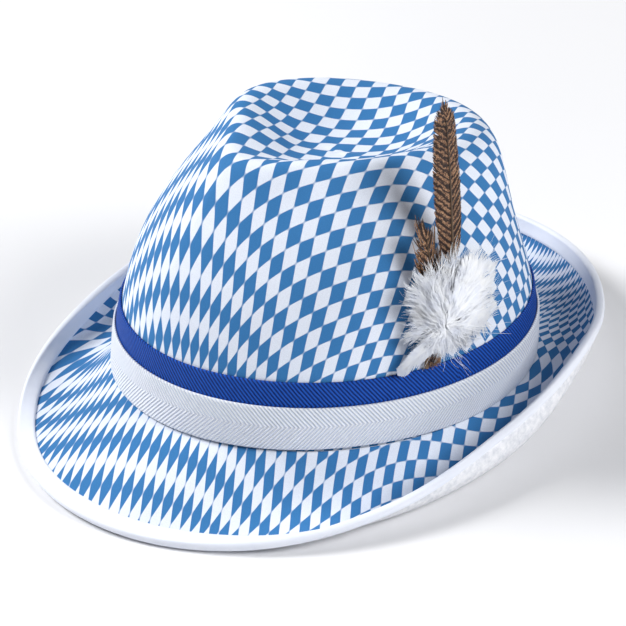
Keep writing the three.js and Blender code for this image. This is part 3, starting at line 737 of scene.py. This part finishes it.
def vane(path, length, front, back, start, barbs, slant, seed, split=0.25, width=0.75, curl=0.6, tipFray=0.0):
    # Barbs of a flat feather: each starts on the shaft and bends outwards and towards the tip;
    # neighbours stick together in tufts, and the tufts part a little at their ends. The last
    # barbs close in on the shaft and round off the tip.
    # uv is the barb's root along the shaft and its distance from it, in millimetres.
    local = np.random.default_rng(seed)
    grids, uvs = [], []
    q = np.linspace(0, 1, barb["steps"])[None]
    for side, profile in ((-1, front), (1, back)):
        spot = (np.arange(barbs) + local.random(barbs) * barb["jitter"]) / barbs
        root = (start + (barb["lastRoot"] - start) * spot)[:, None]
        fan = np.clip((1 - root) / barb["closing"], barb["closed"], 1)
        uneven = 1 + (barb["uneven"][0] + barb["uneven"][1] * split) * local.standard_normal((barbs, 1))
        reach = np.interp(root, *zip(*profile)) * uneven
        tuft = np.cumsum(local.random(barbs) < barb["tuftChance"])
        pull = (split * local.standard_normal(tuft.max() + 1)[tuft, None]
                + barb["looseness"] * split * local.standard_normal((barbs, 1)))
        fray = tipFray * root ** barb["frayPower"] * local.standard_normal((barbs, 1))
        ahead = reach * (slant * q + (pull + fray) * q ** 2)
        across = reach * fan * (1 - (1 - q) ** barb["bend"]) * side
        s = root + ahead / length
        tangent = unit(smoothPath(path, np.clip(s, 0, 1)) - smoothPath(path, np.clip(s - 0.02, 0, 0.98)))
        base = smoothPath(path, s) + tangent * np.clip(s - 1, 0, None)[..., None] * length
        lines = base + unit(np.cross(tangent, upwards)) * across[..., None]
        lift = barb["lift"] * local.standard_normal((barbs, 1)) * q
        lines[..., 2] += -curl * (across / barb["sagWidth"]) ** 2 + lift
        taper = width * (1 - barb["taper"] * q ** barb["taperPower"]) * np.ones((barbs, 1))
        grids.append(ribbonGrid(lines, taper, tiltedUp(local, barbs, barb["steps"], barb["tilt"])))
        uvs.append(np.stack([root * length + 0 * q, across], -1))
    return grids, uvs


# Bars repeat every `pitch` millimetres of the shaft; the blotches grow between two places on it.
bars = {"pitch": 3.5, "blotchPlaces": (50, 110), "blotch": (3.2, 8.0), "blotchSize": 380,
        "edge": (-0.6, 0.1), "streakSize": 1500, "pale": (srgb(92, 54, 37), srgb(184, 144, 108)),
        "deep": (srgb(22, 13, 11), srgb(56, 33, 25))}


def barredMaterial():
    # Pheasant brown: dark bars run along the barbs, so each pair makes a V, and turn blotchy
    # towards the tip; between them the barbs are streaked red brown and cream.
    material, uv, where = newMaterial("barredFeather", 0.55, 0.15, specular=0.35)
    root = dotUv(uv, 1, 0)
    blotch = mapped(root, *bars["blotchPlaces"], *bars["blotch"])
    spots = maths("SUBTRACT", noise(where, bars["blotchSize"], 2, 0.6), 0.5)
    wavy = maths("ADD", root, maths("MULTIPLY", spots, blotch))
    dark = mapped(ribs(wavy, bars["pitch"]), *bars["edge"])
    streak = mapped(noise(where, bars["streakSize"], 2), 0.35, 0.68)
    pale, deep = (mixColour(streak, *bars[key]) for key in ("pale", "deep"))
    return finished(material, mixColour(dark, pale, deep))


hornLook = {"bare": srgb(126, 100, 74), "tip": srgb(44, 28, 20), "length": 120, "streakSize": 900}


def shaftMaterial():
    # Horn: dark brown along the feather, paler and warmer towards the bare end, faint streaks.
    material, uv, where = newMaterial("quillHorn", 0.4, specular=0.5)
    streak = maths("SUBTRACT", noise(where, hornLook["streakSize"], 2), 0.5)
    share = maths("MULTIPLY_ADD", streak, 0.5, dotUv(uv, 1 / hornLook["length"], 0), clamp=True)
    return finished(material, mixColour(share, hornLook["bare"], hornLook["tip"]))


def downMaterial():
    # White down: slightly cool and uneven from strand to strand, matt with a soft sheen.
    material, _, where = newMaterial("whiteDown", 0.75, 0.35, 0.35)
    patch = patches(where, plume["patchSize"], 3)
    return finished(material, mixColour(patch, plume["shade"], plume["light"]))


# Along the path are (back, up, out) points; front and back give the vane's width at shares of it.
longFeather = {
    "length": 122, "start": 0.32, "barbs": 240, "slant": 1.2, "seed": 2, "split": 0.03, "tipFray": 0.3,
    "path": [(0, 0, 1.4), (3, 24.4, -0.6), (7.3, 43.9, -3.6), (6.6, 63, -4.8), (4.5, 83, -5.5),
             (2.2, 101, -6.4), (0, 117.5, -7.2)],
    "front": [(0.3, 2), (0.36, 6.5), (0.46, 8), (0.6, 8), (0.74, 7.2), (0.86, 6), (0.93, 5.2),
              (1, 4)],
    "back": [(0.3, 2), (0.36, 4.6), (0.46, 5.6), (0.6, 5.6), (0.74, 5.4), (0.86, 5), (0.93, 4.4),
             (1, 3.4)],
}
smallFeather = {
    "length": 62, "start": 0.36, "barbs": 130, "slant": 1.7, "seed": 5, "split": 0.85,
    "path": [(-2.5, 8, 1.6), (-4, 32, -0.4), (-7, 62, -5.2)],
    "front": [(0.4, 3), (0.55, 6), (0.75, 5.5), (0.9, 4), (1, 2.6)],
    "back": [(0.4, 7), (0.55, 8), (0.7, 5.5), (0.9, 2.6), (1, 1.8)],
}


def rodGrid(line, radius, along, girth, firstPoint=0):
    # A rod's points, faces and uv; uv is the place along the shaft and the way round it.
    points = tube(line, radius).reshape(-1, 3)
    uv = loopUv(len(line), 8, np.arange(9) * girth, np.repeat(along[:, None], 8, 1))[:, ::-1]
    return points, gridFaces(len(line), 8, True, firstPoint), uv


# The shaft shown along each barred feather: where it ends, how high it lies over the barbs.
spine = {"radius": 0.75, "end": 0.94, "steps": 50, "above": 0.25, "taper": 0.8, "girth": 0.3, "clear": 0.5}


def makeBarredFeather(name, node, feather):
    # The vane's barbs over a fine tapering shaft.
    points, faces, corners = ribbonMesh(*vane(**feather))
    t = np.linspace(0, spine["end"], spine["steps"])
    line = smoothPath(feather["path"], t) + spine["above"] * upwards
    radius = spine["radius"] * (1 - spine["taper"] * t)
    shaft, quads, shaftUv = rodGrid(line, radius, t * feather["length"], spine["girth"], len(points))
    points = fromSeat(keepOff(np.concatenate([points, shaft]), spine["clear"]))
    slots = np.concatenate([np.zeros(len(faces)), np.ones(len(quads))])
    buildPiece(name, node, points, np.concatenate([faces, quads]),
               np.concatenate([corners, shaftUv]), [barred, horn], slots)


plume = {
    "middle": (-5, 23, 7.5), "tufts": 72, "strands": 165, "steps": 8, "seed": 11,
    "roundness": 0.6, "bulge": 14, "hairs": 190, "goldenTurn": 137.508, "clear": 0.7,
    # least value and random span of a strand's slant, length and width; mean and spread of its lift
    "slant": (0.3, 0.35), "strand": (0.22, 0.3), "strandWidth": (0.14, 0.32), "lift": (0.1, 0.28),
    "waver": 0.9, "waverSize": 7, "stray": 0.35, "strandTilt": 0.35,
    "hairReach": (0.85, 0.3), "hairWaver": 1.5, "hairWaverSize": 9, "hairSag": 4, "hairTilt": 0.2,
    "shade": srgb(238, 242, 252), "light": srgb(253, 254, 255), "patchSize": 210,
    # degrees from straight up towards the back, and how far the down reaches that way
    "outline": [(0, 27), (25, 31), (48, 37), (70, 34), (90, 30), (112, 30), (130, 28), (150, 24),
                (175, 19), (200, 19), (222, 19), (240, 16), (262, 14), (285, 14), (305, 17), (325, 21),
                (345, 25), (360, 27)],
    # The smooth round lobe at the upper back, its combed lower edge, and a small pointed
    # feather that hangs down in front.
    "parts": [
        dict(path=[(-3, 24, 8.2), (4, 31, 8), (10, 38, 6.4), (15, 45, 4)], length=30, start=0.05,
             barbs=150, slant=0.9, front=[(0, 4), (0.3, 9), (0.7, 9), (1, 4)],
             back=[(0, 8), (0.3, 15), (0.6, 15), (0.85, 10), (1, 4)],
             split=0.1, width=0.7, curl=0.25, seed=3),
        dict(path=[(2, 22, 8.6), (9, 22, 8), (16, 19.5, 6), (23, 15, 3.8)], length=26, start=0.1,
             barbs=60, slant=1.1, front=[(0, 3), (0.4, 11), (1, 7)], back=[(0, 3), (0.4, 10), (1, 6)],
             split=0.45, width=0.55, curl=0.4, seed=4),
        dict(path=[(-2, 20, 7), (-8, 14, 6.4), (-15, 7, 4), (-22, 0.5, 2.2)], length=30, start=0,
             barbs=110, slant=1.3, front=[(0, 4), (0.4, 5), (0.8, 3.5), (1, 0.8)],
             back=[(0, 4), (0.4, 5), (0.8, 3.5), (1, 0.8)], split=0.12, width=0.7, curl=0.5, seed=5)],
}


def wind(points, size):
    # A smooth unevenness of space: crossed sines, different along each axis.
    a, b, c = np.moveaxis(points / size, -1, 0)
    return np.stack([np.sin(1.7 * b + 0.8 * c + 1) + np.sin(3.1 * a - 2.2 * b),
                     np.sin(1.9 * a - 1.1 * c) + np.sin(2.7 * b + 2.4 * a + 2),
                     np.sin(1.3 * a + 2.1 * b + 0.5)], -1)


def between(key, local, size):
    # Random values from the least one over the span that the plume's row gives.
    least, span = plume[key]
    return least + span * local.random(size)


def plumeTufts(local):
    # Down in tufts: each tuft has an axis from the middle to the outline, and its strands leave
    # the axis at a slant, bend forward and lose themselves in loose ends.
    tufts, strands, steps = plume["tufts"], plume["strands"], plume["steps"]
    size = (tufts, strands)
    angle = np.radians(np.arange(tufts) * plume["goldenTurn"] % 360)[:, None]
    layer = local.random((tufts, 1))
    reach = np.interp(np.degrees(angle), *zip(*plume["outline"])) * (1.04 - 0.5 * layer)
    u = 0.05 + 0.77 * local.random(size) ** 0.8
    middle = plume["middle"]
    depth = middle[2] * (0.55 + 0.9 * layer)
    axis = lambda share: np.stack([
        middle[0] + np.sin(angle) * reach * share, middle[1] + np.cos(angle) * reach * share,
        depth * np.cos(np.clip(share, 0, 1) * (1.2 - 0.4 * layer)) - 1.5 * share], -1)
    slant = local.choice([-1, 1], size) * between("slant", local, size)
    longness = reach * between("strand", local, size) * (1.15 - 0.5 * u)
    heading = unit(axis(u + 0.05) - axis(u))
    sideways = np.stack([heading[..., 1], -heading[..., 0], 0 * heading[..., 0]], -1)
    lift = local.standard_normal(size) * plume["lift"][1] + plume["lift"][0]
    q = np.linspace(0, 1, steps)[None, None, :, None]
    lines = axis(u)[:, :, None] + longness[:, :, None, None] * (
        heading[:, :, None] * q * 0.95 + sideways[:, :, None] * slant[:, :, None, None] * np.sin(q * 1.3)
        + upwards * lift[:, :, None, None] * q * (1 - 0.5 * q))
    stray = plume["stray"] * local.standard_normal((*size, 1, 3))
    lines = lines + wind(lines, plume["waverSize"]) * plume["waver"] * q + stray * q
    lines = lines.reshape(-1, steps, 3)
    least, span = plume["strandWidth"]
    width = (1 - 0.7 * q[0, ..., 0] ** 1.5) * (least + span * local.random((len(lines), 1)) ** 2)
    return ribbonGrid(lines, width, tiltedUp(local, len(lines), steps, plume["strandTilt"]))


def plumeHairs(local):
    # Long fine hairs that stand out all round: straight rays from the middle, bent by the wind.
    hairs, steps = plume["hairs"], plume["steps"]
    turn = local.random(hairs) * 2 * np.pi
    far = np.interp(np.degrees(turn), *zip(*plume["outline"])) * between("hairReach", local, hairs)
    ends = np.stack([np.sin(turn), np.cos(turn), 0.25 * local.standard_normal(hairs)], -1)[:, None]
    q = np.linspace(0.25, 1, steps)[None, :, None]
    lines = np.array(plume["middle"]) * [1, 1, 0.9] + ends * far[:, None, None] * q
    waver = wind(lines, plume["hairWaverSize"]) * plume["hairWaver"]
    lines = lines + waver * q ** 2 - plume["hairSag"] * upwards * q ** 2
    width = 0.2 * (1.1 - q[..., 0]) * np.ones((hairs, 1)) + 0.05
    return ribbonGrid(lines, width, tiltedUp(local, hairs, steps, plume["hairTilt"]))


def makePlume():
    # Tufts, hairs and three flat parts in one mesh; its normals lean outwards from the middle,
    # so that the light falls on it as on one soft body.
    local = np.random.default_rng(plume["seed"])
    grids = [plumeTufts(local), plumeHairs(local)]
    along = np.linspace(0, 10, plume["steps"])
    uvs = [np.stack([along + np.zeros((len(grid), 1)), np.zeros(grid.shape[:2])], -1) for grid in grids]
    for part in plume["parts"]:
        more, moreUv = vane(**part)
        grids += more
        uvs += moreUv
    points, faces, corners = ribbonMesh(grids, uvs)
    points = keepOff(points, plume["clear"])
    rounded = (points - np.array([*plume["middle"][:2], 0])) * plume["roundness"]
    normals = fromSeat(unit(rounded + plume["bulge"] * upwards)) - seatPoint
    buildPiece("whiteDown", "white_plume", fromSeat(points), faces, corners, [down],
               normals=normals)


# The fluff's foot is the least value and random span of each direction from the seat.
quill = {"path": [(-7.0, -0.6, 2.0), (-6.5, 15, 1.8), (-5.6, 30, 1.7)], "length": 30, "radius": 1.15,
         "taper": 0.45, "girth": 0.9, "clear": 0.4, "fluff": 260, "steps": 7, "seed": 21,
         "foot": [(-7.0, 4), (0.5, 4.5), (2.4, 1.6)], "fluffLength": (1.4, 1.8), "fluffTilt": 0.4}


def makeQuill():
    # The bare shaft end, a tapering rod, with a little brown fluff round its foot: short rays
    # bent by the wind.
    t = np.linspace(0, 1, 24)
    line = smoothPath(quill["path"], t)
    radius = quill["radius"] * (1 - quill["taper"] * t)
    rod, rodFaces, rodUv = rodGrid(line, radius, t * quill["length"], quill["girth"])
    local = np.random.default_rng(quill["seed"])
    count, steps = quill["fluff"], quill["steps"]
    q = np.linspace(0, 1, steps)[None, :, None]
    root = np.stack([least + span * local.random(count) for least, span in quill["foot"]], -1)[:, None]
    heading = np.stack([local.standard_normal(count) * 0.8 + 0.5, local.standard_normal(count) * 0.8 + 0.4,
                        0.4 + 0.5 * local.random(count)], -1)
    heading = unit(heading)[:, None]
    least, span = quill["fluffLength"]
    lines = (root + heading * q * (least + span * local.random((count, 1, 1)))
             + wind(root + heading * q * 4, 3.0) * 0.5 * q)
    width = 0.22 * (1 - 0.6 * q[..., 0]) * np.ones((count, 1))
    grid = ribbonGrid(lines, width, tiltedUp(local, count, steps, quill["fluffTilt"]))
    fluffUv = np.stack([quill["length"] + 0 * lines[..., 0], 0 * lines[..., 0]], -1)
    fluff, quads, corners = ribbonMesh([grid], [fluffUv])
    slots = np.concatenate([np.zeros(len(rodFaces)), np.ones(len(quads))])
    both = keepOff(np.concatenate([rod, fluff]), quill["clear"])
    buildPiece("quillEnd", "quill", fromSeat(both),
               np.concatenate([rodFaces, quads + len(rod)]), np.concatenate([rodUv, corners]),
               [horn, barred], slots)


barred = barredMaterial()
horn = shaftMaterial()
down = downMaterial()
makeBarredFeather("longFeather", "pheasant_feather", longFeather)
makeBarredFeather("smallFeather", "small_feather", smallFeather)
makePlume()
makeQuill()
print("feathers made")


# Camera, floor and light

view = {"azimuth": 47.229, "elevation": 28.136, "roll": 3.075, "focal": 3083.8, "frame": 626,
        "distance": 1400, "right": -7.136, "up": 18.132}


def makeCamera():
    a, e, roll = (math.radians(view[k]) for k in ("azimuth", "elevation", "roll"))
    back = np.array([math.sin(a) * math.cos(e), -math.cos(a) * math.cos(e), math.sin(e)])
    right = np.array([math.cos(a), math.sin(a), 0])
    up = np.cross(back, right)
    aim = view["right"] * right + np.array([0, 0, view["up"]])
    axes = [right * math.cos(roll) + up * math.sin(roll), up * math.cos(roll) - right * math.sin(roll), back]
    matrix = np.eye(4)
    matrix[:3, :3] = np.stack([turned(axis) for axis in axes], 1)
    matrix[:3, 3] = (turned(aim + back * view["distance"]) + hat["shift"]) / 1000
    data = bpy.data.cameras.new("camera")
    data.sensor_width = 36
    data.lens = view["focal"] / view["frame"] * 36
    data.clip_start, data.clip_end = 0.05, 50
    camera = bpy.data.objects.new("camera", data)
    camera.matrix_world = Matrix(matrix.tolist())
    bpy.context.scene.collection.objects.link(camera)
    bpy.context.scene.camera = camera


# Each light: place in metres, power in watts, colour.
room = {
    "lights": {"leftLight": ((-1.4, -0.85, 1.4), 52, (1.0, 1.0, 1.0)),
               "rightLight": ((1.5, 0.6, 1.25), 31, (1.0, 1.0, 1.0)),
               "frontLight": ((1.0, -1.5, 0.6), 4, (0.94, 0.96, 1.0))},
    "lightSize": 0.9, "aim": (0, 0, 0.06), "sky": (0.82, 0.88, 1.0, 1), "skyStrength": 0.1,
    "floorSize": 4.0, "floor": (srgb(233, 233, 235), srgb(238, 238, 239)),
}


def makeLight(name, where, power, colour):
    # A square soft light that faces the hat's middle.
    data = bpy.data.lights.new(name, "AREA")
    data.shape, data.size, data.energy, data.color = "SQUARE", room["lightSize"], power, colour
    light = bpy.data.objects.new(name, data)
    light.location = where
    light.rotation_euler = (Vector(where) - Vector(room["aim"])).to_track_quat("Z", "Y").to_euler()
    bpy.context.scene.collection.objects.link(light)


def makeStage():
    mesh = bpy.data.meshes.new("floor")
    half = room["floorSize"]
    corners = [(-half, -half, 0), (half, -half, 0), (half, half, 0), (-half, half, 0)]
    mesh.from_pydata(corners, [], [(0, 1, 2, 3)])
    floor = bpy.data.objects.new("floor", mesh)
    bpy.context.scene.collection.objects.link(floor)
    material, _, where = newMaterial("floorPaper", 0.9, specular=0.1)
    mesh.materials.append(finished(material, mixColour(noise(where, 3), *room["floor"])))
    world = bpy.data.worlds.new("softRoom")
    world.use_nodes = True
    background = world.node_tree.nodes["Background"]
    background.inputs["Color"].default_value = room["sky"]
    background.inputs["Strength"].default_value = room["skyStrength"]
    bpy.context.scene.world = world
    for name, settings in room["lights"].items():
        makeLight(name, *settings)
    bpy.context.scene.view_settings.view_transform = "Standard"


makeCamera()
makeStage()
